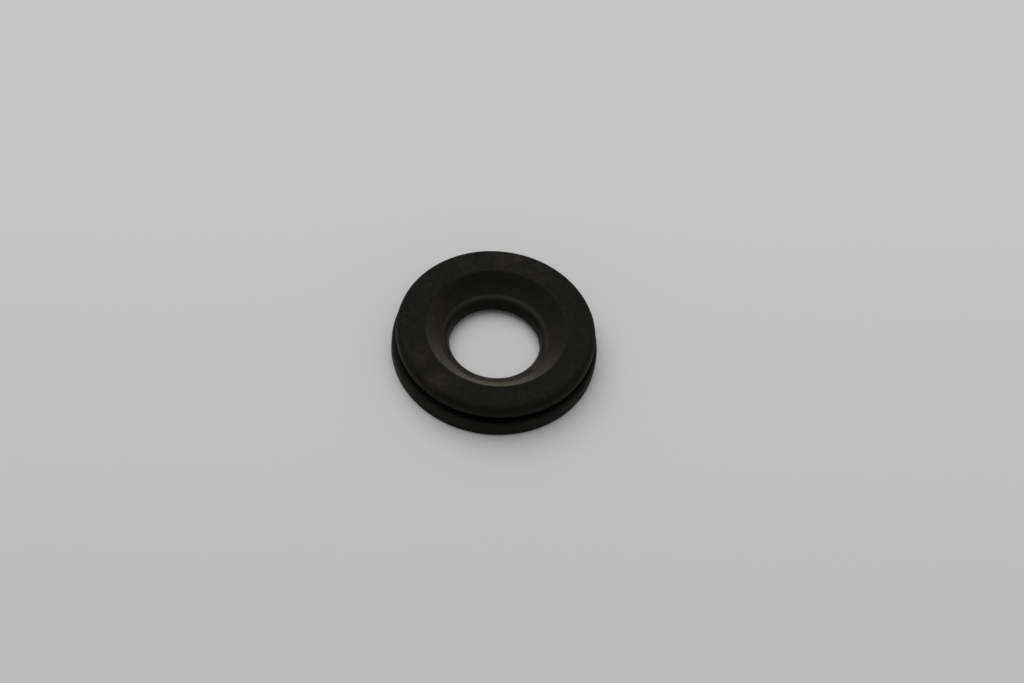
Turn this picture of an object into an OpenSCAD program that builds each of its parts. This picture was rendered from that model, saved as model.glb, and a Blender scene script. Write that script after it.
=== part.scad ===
// Moulded rubber seal: two flanges round a retaining groove, a dished face and a
// rounded lip round the bore. One solid of revolution about +Z, resting on its base
// at z = 0, with the origin on its axis.

/* [Flanges] */
// Diameter of the base flange, the widest part of the seal
seal_d = 34.1; // [31:0.1:38]
// Height of the whole seal, from the base to the top face
seal_h = 6.5; // [5.8:0.05:7.5]
// How far the base flange stands out past the top flange, on each side
flange_step = 0.55; // [0.2:0.05:1]
// Radius of the top flange's rounded shoulder
shoulder_r = 1.25; // [0.8:0.05:2]
// Radius of the top flange's lower edge, over the groove
top_edge_r = 0.2; // [0.1:0.05:0.4]
// Radius of the base flange's upper edge, under the groove
flange_edge_r = 0.7; // [0.15:0.05:1]
// Radius of the edge where the base flange meets the base
base_edge_r = 0.3; // [0.1:0.05:0.8]

/* [Groove] */
// Height of the base flange, which is where the groove starts
groove_z = 2.8; // [2.4:0.05:3.2]
// Width of the groove along the axis
groove_w = 1.4; // [0.8:0.05:1.6]
// Depth of the groove below the top flange's rim
groove_depth = 1.8; // [1:0.05:2.4]
// Radius in the two corners of the groove's root
groove_root_r = 0.3; // [0.1:0.05:0.35]

/* [Dish] */
// Diameter of the dish at the top face
dish_d = 23.6; // [21:0.1:25]
// Radius of the dish's rim at the top face
rim_r = 0.5; // [0.1:0.05:0.8]

/* [Lip] */
// Diameter of the bore through the lip
bore_d = 15; // [12:0.1:16]
// Height of the middle of the lip above the base
lip_z = 2.25; // [1.8:0.05:2.6]
// Thickness of the lip along the axis
lip_t = 2.5; // [1.6:0.05:3]
// Width of the lip's top, from the bore to the foot of the dish
lip_w = 1.45; // [1.2:0.05:2]
// How far the lip overhangs the wider opening in the base
lip_overhang = 1; // [0.6:0.05:1.4]
// Radius of the lip's two rounded edges
lip_r = 1.2; // [0.4:0.05:1.2]

/* [Hidden] */
$fn = 96;

// How far a cutter runs past the surface that it cuts
over = 0.5;
// Least flat left between two rounded edges
flat = 0.1;

base_r = seal_d / 2;
top_r = base_r - flange_step;
dish_r = dish_d / 2;
bore_r = bore_d / 2;
foot_r = bore_r + lip_w;
opening_r = bore_r + lip_overhang;
root_r = top_r - groove_depth;
groove_top = groove_z + groove_w;
lip_low = lip_z - lip_t / 2;
lip_high = lip_z + lip_t / 2;

// Slope of the dish, measured from the top face
dish_slope = atan2(seal_h - lip_high, dish_r - foot_r);

// Rounded edges, each kept inside the wall that carries it
shoulder = min(shoulder_r, seal_h - groove_top - top_edge_r - flat, top_r - dish_r - rim_r - flat);
lip_edge = min(lip_r, (lip_t - flat) / 2);
lip_top_edge = min(lip_edge, lip_w - flat);
lip_under_edge = min(lip_edge, lip_overhang - flat);

// Cutter that rounds off a corner of a section to radius r. The corner's two sides leave
// it at the angles turn and turn + angle, with the solid between them.
module round_off(corner, turn, r, angle = 90) {
    half = angle / 2;
    reach = r / tan(half);
    along = [cos(half), sin(half)];
    side = [cos(angle), sin(angle)];
    centre = along * r / sin(half);
    translate(corner)
        rotate(turn)
            difference() {
                polygon([
                    centre,
                    [reach, 0],
                    [reach, -over],
                    -along * over / sin(half),
                    side * reach + [-side[1], side[0]] * over,
                    side * reach
                ]);
                translate(centre)
                    circle(r);
            }
}

// Ring section with sharp corners, drawn from the base outwards and back down the bore
module ring_outline() {
    polygon([
        [opening_r, 0],
        [base_r, 0],
        [base_r, groove_z + groove_w / 2],
        [top_r, groove_z + groove_w / 2],
        [top_r, seal_h],
        [dish_r, seal_h],
        [foot_r, lip_high],
        [bore_r, lip_high],
        [bore_r, lip_low],
        [opening_r, lip_low]
    ]);
}

// Retaining groove, with rounded corners at its root
module groove() {
    difference() {
        translate([root_r, groove_z])
            square([base_r + over - root_r, groove_w]);
        round_off([root_r, groove_z], 0, groove_root_r);
        round_off([root_r, groove_top], -90, groove_root_r);
    }
}

module ring_section() {
    difference() {
        ring_outline();
        groove();
        round_off([top_r, seal_h], 180, shoulder);
        round_off([dish_r, seal_h], 180 + dish_slope, rim_r, 180 - dish_slope);
        round_off([top_r, groove_top], 90, top_edge_r);
        round_off([base_r, groove_z], 180, flange_edge_r);
        round_off([base_r, 0], 90, base_edge_r);
        round_off([bore_r, lip_high], -90, lip_top_edge);
        round_off([bore_r, lip_low], 0, lip_under_edge);
    }
}

module seal() {
    color("#2d2c2a")
        rotate_extrude()
            ring_section();
}

seal();
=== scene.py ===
import math

import bmesh
import bpy
from mathutils import Matrix, Vector, noise


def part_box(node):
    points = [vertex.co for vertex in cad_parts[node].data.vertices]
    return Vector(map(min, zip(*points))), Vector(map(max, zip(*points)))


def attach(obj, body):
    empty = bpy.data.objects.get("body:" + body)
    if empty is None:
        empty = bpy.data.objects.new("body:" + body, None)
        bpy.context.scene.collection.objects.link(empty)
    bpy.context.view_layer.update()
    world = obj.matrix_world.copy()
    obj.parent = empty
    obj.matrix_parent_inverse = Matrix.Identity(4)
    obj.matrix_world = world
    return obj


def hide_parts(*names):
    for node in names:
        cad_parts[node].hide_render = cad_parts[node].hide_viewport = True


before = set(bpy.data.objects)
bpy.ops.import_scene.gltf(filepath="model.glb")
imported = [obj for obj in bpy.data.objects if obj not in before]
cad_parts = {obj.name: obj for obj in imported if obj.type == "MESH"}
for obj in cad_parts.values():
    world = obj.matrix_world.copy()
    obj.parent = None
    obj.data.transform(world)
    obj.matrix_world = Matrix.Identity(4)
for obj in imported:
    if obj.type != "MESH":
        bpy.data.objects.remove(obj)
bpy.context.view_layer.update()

MM = 0.001


# Camera. A long lens that looks down on the seal from its front, turned a little so that
# the bench leans to the right. The seal lies just left of the middle of the view.
IMAGE_WIDTH = 1024
LENS_PIXELS = 2400
SENSOR_WIDTH = 36.0
LOOK_DOWN = math.radians(53.95)
ROLL = math.radians(7.4)
CAMERA_DISTANCE = 399.6 * MM
SEAL_LEFT_OF_AIM = 3.05 * MM
SEAL_BELOW_AIM = 1.43 * MM
NEAREST_SEEN = 0.01
FARTHEST_SEEN = 20

forward = Vector((0, math.cos(LOOK_DOWN), -math.sin(LOOK_DOWN)))
level_right = Vector((1, 0, 0))
level_up = level_right.cross(forward)
right = math.cos(ROLL) * level_right + math.sin(ROLL) * level_up
up = math.cos(ROLL) * level_up - math.sin(ROLL) * level_right
aim = right * SEAL_LEFT_OF_AIM + up * SEAL_BELOW_AIM

lens = bpy.data.cameras.new("camera")
lens.sensor_width = SENSOR_WIDTH
lens.lens = LENS_PIXELS * SENSOR_WIDTH / IMAGE_WIDTH
lens.clip_start = NEAREST_SEEN
lens.clip_end = FARTHEST_SEEN
camera = bpy.data.objects.new("camera", lens)
bpy.context.scene.collection.objects.link(camera)
turn = Matrix((right, up, -forward)).transposed().to_4x4()
camera.matrix_world = Matrix.Translation(aim - forward * CAMERA_DISTANCE) @ turn
bpy.context.scene.camera = camera


# Studio. A pale sheet of paper under the seal, with painted light on it that fades its colour
# lighter towards the rear, a wide soft lamp above and behind it to the left, another straight
# above, and dim white walls all round. Places and sizes in metres.
FLOOR_SIZE = 6.0
# The paper's colour at the front and at the rear: painted light, lighter towards the rear
PAPER_FRONT = (0.605, 0.605, 0.605)
PAPER_REAR = (0.685, 0.685, 0.685)
PAPER_LIGHT_FADE = 70 * MM
PAPER_ROUGHNESS = 0.9
LAMP_SIZE = 1.8
OVERHEAD_PLACE = (-0.36, 0.55, 1.38)
OVERHEAD_POWER = 12.2
CEILING_PLACE = (0, 0.1, 2.0)
CEILING_POWER = 7.2
WALLS_STRENGTH = 0.31
WHITE = (1, 1, 1)


def set_inputs(tree, node, **inputs):
    """Set or link a node's inputs, by name or, as i0 or i1, by number."""
    for name, value in inputs.items():
        numbered = name[0] == "i" and name[1:].isdigit()
        socket = node.inputs[int(name[1:]) if numbered else name.replace("_", " ")]
        if isinstance(value, bpy.types.NodeSocket):
            tree.links.new(value, socket)
        elif socket.type == "RGBA":
            socket.default_value = (*value, 1)
        else:
            socket.default_value = value


def add_node(tree, kind, settings=None, **inputs):
    """A new node with its settings made and its inputs set or linked."""
    node = tree.nodes.new(kind)
    for name, value in (settings or {}).items():
        setattr(node, name, value)
    set_inputs(tree, node, **inputs)
    return node


def spread(tree, value, low, high, to_low=0.0, to_high=1.0):
    """Map a value's low..high to another range, clamped."""
    node = add_node(
        tree, "ShaderNodeMapRange",
        Value=value, From_Min=low, From_Max=high, To_Min=to_low, To_Max=to_high,
    )
    return node.outputs["Result"]


def colour_mix(tree, factor, first, second):
    """First colour to second by a factor."""
    node = add_node(tree, "ShaderNodeMix", {"data_type": "RGBA"}, i0=factor, i6=first, i7=second)
    return node.outputs[2]


paper = bpy.data.materials.new("pale_paper")
paper.use_nodes = True
tree = paper.node_tree
place = add_node(tree, "ShaderNodeTexCoord").outputs["Object"]
rearward = add_node(tree, "ShaderNodeSeparateXYZ", Vector=place).outputs["Y"]
# Painted light: the paper fades from its front colour to its rear colour across the middle
paper_light_fade = spread(tree, rearward, -PAPER_LIGHT_FADE, PAPER_LIGHT_FADE)
set_inputs(
    tree, tree.nodes["Principled BSDF"],
    Base_Color=colour_mix(tree, paper_light_fade, PAPER_FRONT, PAPER_REAR), Roughness=PAPER_ROUGHNESS,
)

floor_mesh = bmesh.new()
bmesh.ops.create_grid(floor_mesh, x_segments=1, y_segments=1, size=FLOOR_SIZE / 2)
floor_data = bpy.data.meshes.new("floor")
floor_mesh.to_mesh(floor_data)
floor_mesh.free()
floor_data.materials.append(paper)
floor = bpy.data.objects.new("floor", floor_data)
bpy.context.scene.collection.objects.link(floor)


def soft_lamp(name, place, power):
    """A wide round lamp that faces the seal."""
    lamp_data = bpy.data.lights.new(name, "AREA")
    lamp_data.shape = "DISK"
    lamp_data.size = LAMP_SIZE
    lamp_data.energy = power
    lamp = bpy.data.objects.new(name, lamp_data)
    bpy.context.scene.collection.objects.link(lamp)
    facing = (-Vector(place)).to_track_quat("-Z", "Y").to_matrix().to_4x4()
    lamp.matrix_world = Matrix.Translation(place) @ facing


soft_lamp("overhead", OVERHEAD_PLACE, OVERHEAD_POWER)
soft_lamp("ceiling", CEILING_PLACE, CEILING_POWER)

world = bpy.data.worlds.new("studio")
world.use_nodes = True
set_inputs(
    world.node_tree, world.node_tree.nodes["Background"], Color=WHITE, Strength=WALLS_STRENGTH
)
bpy.context.scene.world = world

bpy.context.scene.view_settings.view_transform = "Standard"


# Seal. A moulded ring of black rubber: a base flange and a top flange with a groove between
# them, a dish in the top and a rounded lip round the bore. One section spun round the axis,
# a little uneven as soft mouldings are, with a nick in the lip. Sizes in millimetres.
seal_far_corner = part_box("seal")[1]
BASE_R = seal_far_corner.x / MM
TOP_Z = seal_far_corner.z / MM
FLANGE_STEP = 0.55
TOP_R = BASE_R - FLANGE_STEP
GROOVE_LOW_Z = 2.8
GROOVE_HIGH_Z = 4.2
GROOVE_DEPTH = 1.8
GROOVE_ROOT_R = TOP_R - GROOVE_DEPTH
DISH_R = 11.8
LIP_R = 7.52
LIP_FOOT_R = 8.95
LIP_HIGH_Z = 3.52
LIP_LOW_Z = 0.5
OPENING_R = 8.5

# Rounded edges and corners, from the base's opening outwards and back down the bore
OPENING_EDGE = 0.1
BASE_EDGE = 0.3
FLANGE_EDGE = 0.7
GROOVE_ROOT = 0.3
TOP_UNDER_EDGE = 0.2
SHOULDER = 1.25
DISH_RIM = 0.5
DISH_FOOT = 0.25
LIP_TOP_EDGE = 1.25
LIP_UNDER_EDGE = 0.9
SHARP = 0

# Corners of the section as radius, height and rounding
SECTION = [
    (OPENING_R, 0, OPENING_EDGE),
    (BASE_R, 0, BASE_EDGE),
    (BASE_R, GROOVE_LOW_Z, FLANGE_EDGE),
    (GROOVE_ROOT_R, GROOVE_LOW_Z, GROOVE_ROOT),
    (GROOVE_ROOT_R, GROOVE_HIGH_Z, GROOVE_ROOT),
    (TOP_R, GROOVE_HIGH_Z, TOP_UNDER_EDGE),
    (TOP_R, TOP_Z, SHOULDER),
    (DISH_R, TOP_Z, DISH_RIM),
    (LIP_FOOT_R, LIP_HIGH_Z, DISH_FOOT),
    (LIP_R, LIP_HIGH_Z, LIP_TOP_EDGE),
    (LIP_R, LIP_LOW_Z, LIP_UNDER_EDGE),
    (OPENING_R, LIP_LOW_Z, SHARP),
]
RING_STEPS = 360
ARC_SEGMENTS = 8
LONGEST_EDGE = 0.35
MERGE_DISTANCE = 0.001


def rounding_reach(before, corner, after, radius):
    """How far from a corner an arc of this radius leaves its two sides."""
    half = (before - corner).angle(after - corner) / 2
    return radius / math.tan(half)


def ring_mesh(corners):
    """A ring spun from rounded section corners."""
    mesh = bmesh.new()
    places = [Vector((radius, 0, height)) * MM for radius, height, rounding in corners]
    points = [mesh.verts.new(place) for place in places]
    mesh.faces.new(points)
    count = len(corners)
    reaches = [
        rounding_reach(places[i - 1], places[i], places[(i + 1) % count], corners[i][2] * MM)
        for i in range(count)
    ]
    for point, reach in zip(points, reaches):
        if reach > 0:
            bmesh.ops.bevel(
                mesh, geom=[point], offset=reach, offset_type="OFFSET", segments=ARC_SEGMENTS,
                profile=0.5, affect="VERTICES", material=-1,
            )
    bmesh.ops.delete(mesh, geom=mesh.faces[:], context="FACES_ONLY")
    for edge in mesh.edges[:]:
        cuts = math.ceil(edge.calc_length() / (LONGEST_EDGE * MM)) - 1
        if cuts > 0:
            bmesh.ops.subdivide_edges(mesh, edges=[edge], cuts=cuts)
    bmesh.ops.spin(
        mesh, geom=mesh.verts[:] + mesh.edges[:], cent=(0, 0, 0), axis=(0, 0, 1),
        angle=math.tau, steps=RING_STEPS, use_merge=True,
    )
    bmesh.ops.remove_doubles(mesh, verts=mesh.verts[:], dist=MERGE_DISTANCE * MM)
    bmesh.ops.recalc_face_normals(mesh, faces=mesh.faces[:])
    for face in mesh.faces:
        face.smooth = True
    return mesh


mesh = ring_mesh(SECTION)

# Soft mouldings are never quite true: a shallow, slow unevenness, kept inside the section
# and off the flat base
UNEVEN_SCALE = 160
UNEVEN_DEPTH = 0.03
UNEVEN_FROM_Z = 0.3
for vert in mesh.verts:
    push = noise.noise(vert.co * UNEVEN_SCALE) * 0.5 + 0.5
    if vert.co.z > UNEVEN_FROM_Z * MM:
        vert.co -= vert.normal * push * UNEVEN_DEPTH * MM

# The nick in the lip
NICK_PLACE = (7.38, -1.57, 2.5)
NICK_SIZE = 0.42
NICK_DEPTH = 0.22
for vert in mesh.verts:
    away = (vert.co - Vector(NICK_PLACE) * MM).length / (NICK_SIZE * MM)
    if away < 1:
        vert.co -= vert.normal * NICK_DEPTH * MM * (1 - away * away) ** 2

# The dish is dustier than the outside, and the top of the lip is the most worn. The numbers
# are the order in which the seal is given its rubbers
OUTER, DISH, LIP = range(3)
DUST_PAST_RIM = 0.05
WEAR_FROM_Z = 2.7
for face in mesh.faces:
    middle = face.calc_center_median()
    radius = middle.xy.length
    if radius > (DISH_R + DUST_PAST_RIM) * MM or middle.z < WEAR_FROM_Z * MM:
        face.material_index = OUTER
    elif radius > LIP_FOOT_R * MM:
        face.material_index = DISH
    else:
        face.material_index = LIP

seal_data = bpy.data.meshes.new("seal_ring")
mesh.to_mesh(seal_data)
mesh.free()
seal = bpy.data.objects.new("seal_ring", seal_data)
bpy.context.scene.collection.objects.link(seal)


def start_group(name, inputs, outputs):
    """A shader node group with named sockets, the values given to it and its results."""
    group = bpy.data.node_groups.new(name, "ShaderNodeTree")
    for in_out, sockets in (("INPUT", inputs), ("OUTPUT", outputs)):
        for socket, kind in sockets.items():
            group.interface.new_socket(socket, in_out=in_out, socket_type="NodeSocket" + kind)
    given = group.nodes.new("NodeGroupInput").outputs
    return group, given, group.nodes.new("NodeGroupOutput")


def noise_field(tree, place, scale, detail, roughness=0.5):
    node = add_node(
        tree, "ShaderNodeTexNoise", Vector=place, Scale=scale, Detail=detail, Roughness=roughness
    )
    return node.outputs["Fac"]


def maths(tree, operation, first, second):
    node = add_node(tree, "ShaderNodeMath", {"operation": operation}, i0=first, i1=second)
    return node.outputs["Value"]


def product(tree, first, *others):
    """Numbers multiplied together."""
    for other in others:
        first = maths(tree, "MULTIPLY", first, other)
    return first


def vector_maths(tree, operation, **inputs):
    """A step of vector arithmetic: its result is Vector, or Value where it is one number."""
    return add_node(tree, "ShaderNodeVectorMath", {"operation": operation}, **inputs).outputs


# The pattern that every rubber here has, in the seal's own coordinates: broad cloudy bloom,
# small blotches and a few specks of dust in its colour, and moulding grain. It also gives the
# distance from the axis and the height above the bench
CLOUD_SCALE = 230
CLOUD_RANGE = (0.35, 0.68)
BLOTCH_SCALE = 1100
BLOTCH_RANGE = (0.35, 0.7)
BLOTCH_ROUGHNESS = 0.6
PATTERN_DETAIL = 3
COARSE_GRAIN_SCALE = 1700
FINE_GRAIN_SCALE = 5200
FINE_GRAIN_SHARE = 0.5
GRAIN_DETAIL = 2

# A speck fills the middle of about one cell in twenty-five
SPECK_SCALE = 1500
SPECK_EDGE = (0.06, 0.18)
SPECK_CHANCE = (0.955, 0.965)
SPECK_COLOUR = (0.04, 0.036, 0.03)

pattern, given, results = start_group(
    "rubber_pattern",
    {"Dark": "Color", "Cloud": "Color", "Blotch": "Color", "Blotch Share": "Float",
     "Speck Share": "Float"},
    {"Colour": "Color", "Clouds": "Float", "Blotches": "Float", "Grain": "Float",
     "Radius": "Float", "Height": "Float"},
)
place = add_node(pattern, "ShaderNodeTexCoord").outputs["Object"]
cloud_field = noise_field(pattern, place, CLOUD_SCALE, PATTERN_DETAIL)
clouds = spread(pattern, cloud_field, *CLOUD_RANGE)
blotch_field = noise_field(pattern, place, BLOTCH_SCALE, PATTERN_DETAIL, BLOTCH_ROUGHNESS)
blotches = spread(pattern, blotch_field, *BLOTCH_RANGE)
speck_cells = add_node(
    pattern, "ShaderNodeTexVoronoi", {"feature": "F1"},
    Vector=place, Scale=SPECK_SCALE, Randomness=1.0,
).outputs
speck_middle = spread(pattern, speck_cells["Distance"], *SPECK_EDGE, 1.0, 0.0)
speck_luck = add_node(pattern, "ShaderNodeSeparateColor", Color=speck_cells["Color"]).outputs["Red"]
specks = product(pattern, speck_middle, spread(pattern, speck_luck, *SPECK_CHANCE))
colour = colour_mix(pattern, clouds, given["Dark"], given["Cloud"])
blotch_share = product(pattern, blotches, given["Blotch Share"])
colour = colour_mix(pattern, blotch_share, colour, given["Blotch"])
speck_share = product(pattern, specks, given["Speck Share"])
colour = colour_mix(pattern, speck_share, colour, SPECK_COLOUR)
fine_grain = noise_field(pattern, place, FINE_GRAIN_SCALE, GRAIN_DETAIL)
coarse_grain = noise_field(pattern, place, COARSE_GRAIN_SCALE, GRAIN_DETAIL)
flat_place = vector_maths(pattern, "MULTIPLY", i0=place, i1=(1, 1, 0))["Vector"]
set_inputs(
    pattern, results, Colour=colour, Clouds=clouds, Blotches=blotches,
    Grain=maths(pattern, "ADD", product(pattern, fine_grain, FINE_GRAIN_SHARE), coarse_grain),
    Radius=vector_maths(pattern, "LENGTH", i0=flat_place)["Value"],
    Height=add_node(pattern, "ShaderNodeSeparateXYZ", Vector=place).outputs["Z"],
)

# A rubbed, paler patch round one place, ragged through the blotches
PATCH_CORE = 0.2
RAGGED_BELOW = 0.7
RAGGED_LEAST = 0.3

patch, given, results = start_group(
    "rubbed_patch",
    {"Colour": "Color", "Blotches": "Float", "Middle": "Vector", "Size": "Float",
     "Strength": "Float", "Tint": "Color"},
    {"Colour": "Color"},
)
place = add_node(patch, "ShaderNodeTexCoord").outputs["Object"]
away = vector_maths(patch, "DISTANCE", i0=place, i1=given["Middle"])["Value"]
core = product(patch, given["Size"], PATCH_CORE)
near = spread(patch, away, core, given["Size"], given["Strength"], 0.0)
ragged = spread(patch, given["Blotches"], 0.0, RAGGED_BELOW, RAGGED_LEAST, 1.0)
rubbed = colour_mix(patch, product(patch, near, ragged), given["Colour"], given["Tint"])
set_inputs(patch, results, Colour=rubbed)

# A short, pale scratch from one place along a run, strongest along its middle line
scratch, given, results = start_group(
    "pale_scratch",
    {"Colour": "Color", "Start": "Vector", "Run": "Vector", "Width": "Float",
     "Strength": "Float", "Tint": "Color"},
    {"Colour": "Color"},
)
place = add_node(scratch, "ShaderNodeTexCoord").outputs["Object"]
offset = vector_maths(scratch, "SUBTRACT", i0=place, i1=given["Start"])["Vector"]
along = vector_maths(scratch, "DOT_PRODUCT", i0=offset, i1=given["Run"])["Value"]
whole = vector_maths(scratch, "DOT_PRODUCT", i0=given["Run"], i1=given["Run"])["Value"]
share = spread(scratch, maths(scratch, "DIVIDE", along, whole), 0.0, 1.0)
nearest = vector_maths(scratch, "SCALE", i0=given["Run"], Scale=share)["Vector"]
away = vector_maths(scratch, "DISTANCE", i0=offset, i1=nearest)["Value"]
mark = spread(scratch, away, 0.0, given["Width"], given["Strength"], 0.0)
scratched = colour_mix(scratch, mark, given["Colour"], given["Tint"])
set_inputs(scratch, results, Colour=scratched)


def start_rubber(name, **look):
    """A new rubber with the shared pattern in it, set to its own look."""
    rubber = bpy.data.materials.new(name)
    rubber.use_nodes = True
    tree = rubber.node_tree
    marks = add_node(tree, "ShaderNodeGroup", {"node_tree": pattern}, **look).outputs
    return rubber, tree, marks


def add_patch(tree, marks, colour, angle, radius, height, size, strength, tint):
    """The rubber's colour with a rubbed patch at an angle, radius and height on the seal."""
    turned = math.radians(angle)
    middle = Vector((radius * math.cos(turned), radius * math.sin(turned), height)) * MM
    return add_node(
        tree, "ShaderNodeGroup", {"node_tree": patch}, Colour=colour, Blotches=marks["Blotches"],
        Middle=middle, Size=size * MM, Strength=strength, Tint=tint,
    ).outputs["Colour"]


def add_scratch(tree, colour, start, end, width, strength, tint):
    """The rubber's colour with a scratch from one place to another."""
    run = Vector(end) * MM - Vector(start) * MM
    return add_node(
        tree, "ShaderNodeGroup", {"node_tree": scratch}, Colour=colour, Start=Vector(start) * MM,
        Run=run, Width=width * MM, Strength=strength, Tint=tint,
    ).outputs["Colour"]


def fade(tree, length, reach, to_start=0.0, to_end=1.0):
    """Fade from one value to another as a length goes from a reach's start to its end."""
    start, end = reach
    return spread(tree, length, start * MM, end * MM, to_start, to_end)


GRAIN_DEPTH = 0.03


def finish_rubber(tree, marks, colour, roughness, grain, **shader_values):
    """Give the shader its colour, a roughness that follows the clouds, and the grain."""
    cloudy_roughness = spread(tree, marks["Clouds"], 0.0, 1.0, *roughness)
    bump = add_node(
        tree, "ShaderNodeBump", Strength=grain, Distance=GRAIN_DEPTH * MM, Height=marks["Grain"]
    )
    set_inputs(
        tree, tree.nodes["Principled BSDF"], Base_Color=colour, Roughness=cloudy_roughness,
        Normal=bump.outputs["Normal"], **shader_values,
    )


# Tints of the rubbed places and the scratches, and of the painted sheen on the front of the dish
BLOOM = (0.0180, 0.0165, 0.0140)
BEIGE = (0.0260, 0.0210, 0.0150)
STRAW_DUST_AND_SHEEN = (0.0300, 0.0235, 0.0060)
PALE = (0.0550, 0.0530, 0.0490)

# The outer rubber: the top face, both flanges, the groove, the base and the lower bore
outer_rubber, tree, marks = start_rubber(
    "black_rubber", Dark=(0.0042, 0.0041, 0.0036), Cloud=(0.0072, 0.0070, 0.0062),
    Blotch=(0.0135, 0.0128, 0.0112), Blotch_Share=0.6, Speck_Share=0.6,
)

# The worn upper edge of the base flange, paler over these radii and heights
WORN_EDGE_R = (BASE_R - 0.5, BASE_R - 0.2)
WORN_EDGE_Z = (GROOVE_LOW_Z - 0.9, GROOVE_LOW_Z - 0.3)
WORN_EDGE_SHARE = 0.45
WORN_EDGE = (0.0160, 0.0150, 0.0130)
worn_out = fade(tree, marks["Radius"], WORN_EDGE_R)
worn_up = fade(tree, marks["Height"], WORN_EDGE_Z, to_end=WORN_EDGE_SHARE)
colour = colour_mix(tree, product(tree, worn_out, worn_up), marks["Colour"], WORN_EDGE)

# Painted shade in the groove: the groove and the ledge below it are darkened, starting and ending
# over these radii and heights
GROOVE_SHADE_R = (TOP_R - 0.05, TOP_R + 0.25)
GROOVE_SHADE_LOW_Z = (GROOVE_LOW_Z - 0.1, GROOVE_LOW_Z - 0.04)
GROOVE_SHADE_HIGH_Z = (GROOVE_HIGH_Z - 0.05, GROOVE_HIGH_Z + 0.1)
GROOVE_SHADE_SHARE = 0.55
GROOVE_SHADE = (0.0008, 0.0008, 0.0007)
shade_in = fade(tree, marks["Radius"], GROOVE_SHADE_R, 1.0, 0.0)
shade_from = fade(tree, marks["Height"], GROOVE_SHADE_LOW_Z)
shade_to = fade(tree, marks["Height"], GROOVE_SHADE_HIGH_Z, GROOVE_SHADE_SHARE, 0.0)
colour = colour_mix(tree, product(tree, shade_in, shade_from, shade_to), colour, GROOVE_SHADE)

# Bloom and rubbing on the top face and, last, on the left shoulder
for angle, radius, height, size, strength, tint in (
    (90, 13.5, 6.5, 4.2, 0.8, BLOOM),
    (62, 13.2, 6.5, 4.0, 0.58, BLOOM),
    (90, 15.0, 6.5, 2.2, 0.75, BLOOM),
    (82, 14.9, 6.4, 1.2, 0.9, BEIGE),
    (118, 13.4, 6.5, 3.8, 0.42, BLOOM),
    (150, 14.2, 6.4, 2.8, 0.4, BLOOM),
    (210, 13.6, 6.5, 2.6, 0.55, BLOOM),
    (218, 14.2, 6.5, 1.4, 0.5, BEIGE),
    (240, 13.6, 6.5, 3.2, 0.5, BLOOM),
    (235, 14.8, 6.4, 2.4, 0.6, BEIGE),
    (330, 13.6, 6.5, 2.6, 0.2, BLOOM),
    (192, 16.2, 5.8, 4.2, 0.25, BLOOM),
):
    colour = add_patch(tree, marks, colour, angle, radius, height, size, strength, tint)
colour = add_scratch(tree, colour, (-15.73, -1.25, 6.38), (-15.3, -1.28, 6.5), 0.13, 0.55, PALE)
colour = add_scratch(tree, colour, (-15.4, 0.62, 6.45), (-15.1, 0.57, 6.5), 0.12, 0.3, PALE)
finish_rubber(
    tree, marks, colour, roughness=(0.6, 0.72), grain=0.25, Specular_IOR_Level=0.06,
    Sheen_Weight=0.032, Sheen_Roughness=0.5, Sheen_Tint=(1, 0.88, 0.62),
)

# The dish's rubber, under a film of pale dust that lies thickest at the foot of the slope
dish_rubber, tree, marks = start_rubber(
    "dusty_rubber", Dark=(0.0022, 0.0022, 0.0018), Cloud=(0.0042, 0.0041, 0.0034),
    Blotch=(0.0100, 0.0090, 0.0076), Blotch_Share=0.6, Speck_Share=0.5,
)
colour = marks["Colour"]
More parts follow.
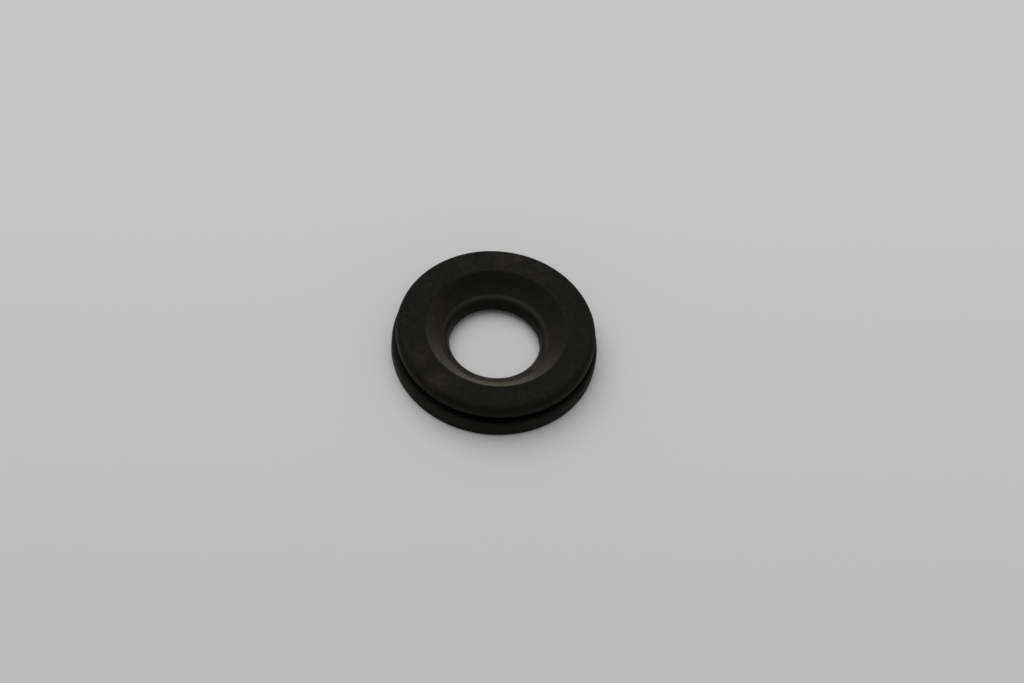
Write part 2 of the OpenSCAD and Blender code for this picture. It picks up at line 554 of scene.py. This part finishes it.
# The patches at 254, 275, 300 and 320 degrees, on the front slope of the dish, are partly dust and
# partly painted sheen: they put the warm, bright grazing reflection there into the colour
for angle, radius, height, size, strength, tint in (
    (45, 10.6, 5.2, 3.4, 0.1, BLOOM),
    (160, 10.8, 5.4, 3.0, 0.2, BLOOM),
    (320, 10.6, 5.2, 3.4, 0.45, BEIGE),
    (254, 10.3, 4.9, 3.4, 0.48, STRAW_DUST_AND_SHEEN),
    (275, 10.3, 4.9, 3.6, 0.6, STRAW_DUST_AND_SHEEN),
    (300, 10.3, 4.9, 3.6, 0.5, STRAW_DUST_AND_SHEEN),
):
    colour = add_patch(tree, marks, colour, angle, radius, height, size, strength, tint)
FOOT_DUST_R = (LIP_FOOT_R, 10.6)
FOOT_DUST_SHARE = 0.35
foot_dust = fade(tree, marks["Radius"], FOOT_DUST_R, FOOT_DUST_SHARE, 0.0)
colour = colour_mix(tree, foot_dust, colour, BLOOM)
colour = add_scratch(tree, colour, (-10.79, 1.27, 5.53), (-10.27, 0.66, 4.94), 0.17, 0.7, PALE)
finish_rubber(
    tree, marks, colour, roughness=(0.42, 0.56), grain=0.2, Specular_IOR_Level=0.12,
    Sheen_Weight=0.22, Sheen_Roughness=0.45, Sheen_Tint=(1, 0.93, 0.74),
)

# The lip's rubber: polished a little, and paler at the front, partly where things have rubbed on it
# and partly painted sheen, the bright grazing reflection of the front of the lip put into its
# colour
lip_rubber, tree, marks = start_rubber(
    "worn_rubber", Dark=(0.0020, 0.0020, 0.0017), Cloud=(0.0036, 0.0034, 0.0029),
    Blotch=(0.0060, 0.0054, 0.0043), Blotch_Share=0.4, Speck_Share=0,
)
LIP_WEAR_AND_SHEEN = (0.0480, 0.0390, 0.0300)
WEAR_SHEEN_R = 8.4
WEAR_SHEEN_Z = 3.4
WEAR_SHEEN_SIZE = 3.1
WEAR_AND_SHEEN_ROUND_LIP = {195: 0.18, 230: 0.48, 262: 0.58, 295: 0.62, 328: 0.5, 358: 0.2}
colour = marks["Colour"]
# Paler patches round the front of the lip: partly wear, partly painted sheen
for angle, strength in WEAR_AND_SHEEN_ROUND_LIP.items():
    colour = add_patch(tree, marks, colour, angle, WEAR_SHEEN_R, WEAR_SHEEN_Z, WEAR_SHEEN_SIZE, strength, LIP_WEAR_AND_SHEEN)
finish_rubber(
    tree, marks, colour, roughness=(0.38, 0.5), grain=0.2, Specular_IOR_Level=0.11,
    Sheen_Weight=0.19, Sheen_Roughness=0.45, Sheen_Tint=(1, 0.9, 0.68),
)

for rubber in (outer_rubber, dish_rubber, lip_rubber):
    seal_data.materials.append(rubber)

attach(seal, "root")
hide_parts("seal")
